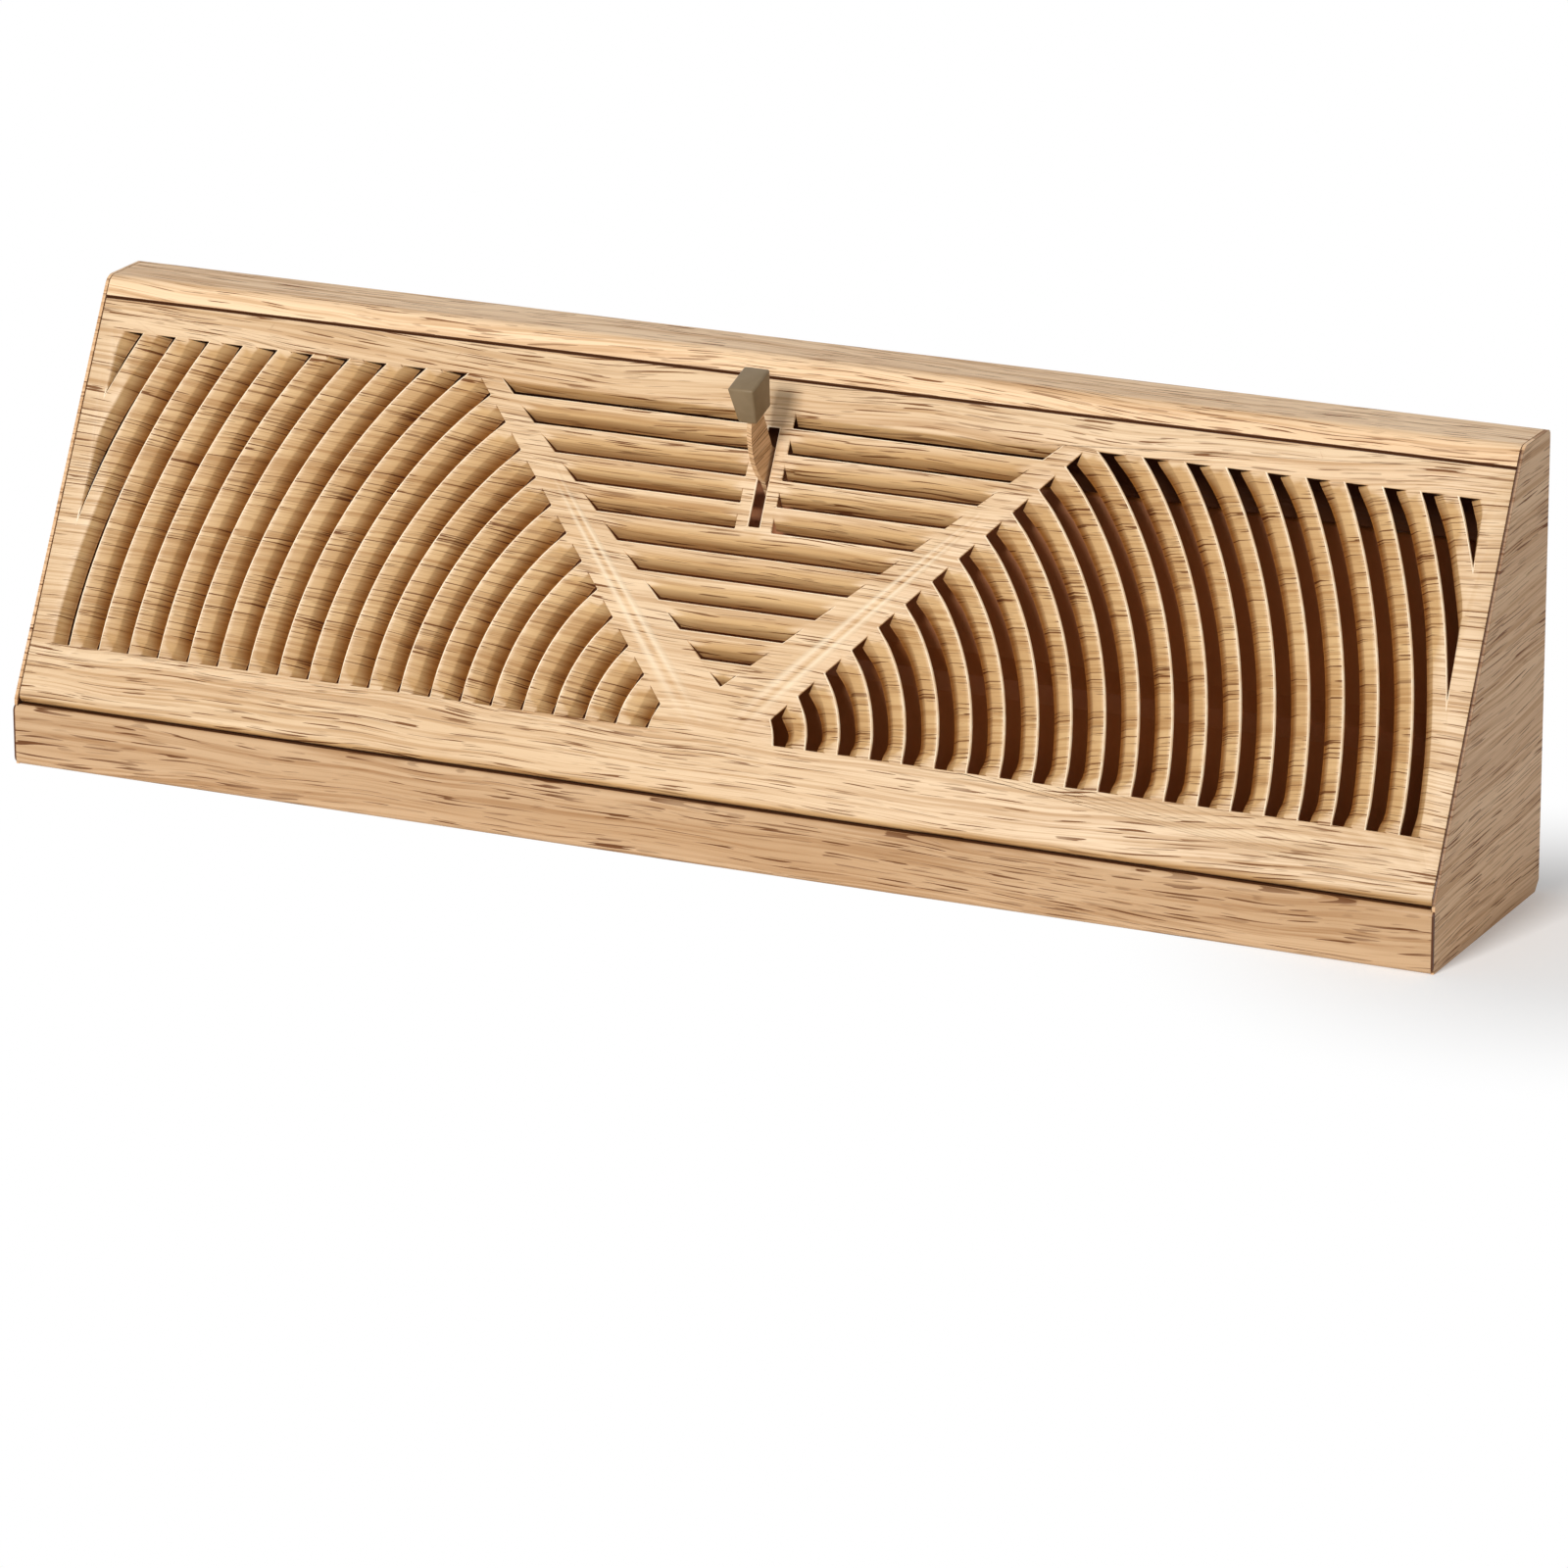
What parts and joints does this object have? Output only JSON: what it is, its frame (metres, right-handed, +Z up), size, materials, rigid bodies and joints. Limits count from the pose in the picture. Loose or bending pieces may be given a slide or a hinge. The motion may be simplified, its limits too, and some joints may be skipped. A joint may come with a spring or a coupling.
{
  "type": "baseboard register",
  "caption": "Sloped baseboard register in wood-grain finished steel: arc louvres either side of a V of level louvres, with a lever-worked damper blade behind the panel.",
  "frame": {"origin": "on the floor, at mid length and mid depth", "axes": "+X along the wall to the right, +Y towards the wall, +Z up"},
  "size_m": [0.381, 0.0698, 0.1159],
  "materials": {
    "wood_grain_steel": "satin wood-grain print on steel",
    "dark_painted_steel": "dark brown paint",
    "plated_steel": "zinc plated",
    "fibre": "matt vulcanised fibre",
    "knob_plastic": "taupe moulded plastic, satin"
  },
  "bodies": {
    "housing": {"louvre_panel": "wood_grain_steel", "top_rail": "wood_grain_steel", "bottom_rail": "wood_grain_steel", "left_end_cap": "wood_grain_steel", "right_end_cap": "wood_grain_steel", "pivot_studs": "plated_steel", "friction_washers": "fibre"},
    "damper": {"damper_blade": "dark_painted_steel", "damper_lever": "wood_grain_steel", "lever_knob": "knob_plastic"}
  },
  "joints": [
    {"name": "damper_swing", "type": "hinge", "parent": "housing", "child": "damper", "pos_m": [0, 0.01684, 0.07742], "axis": [1, 0, 0], "range_deg": [0, 36]}
  ]
}
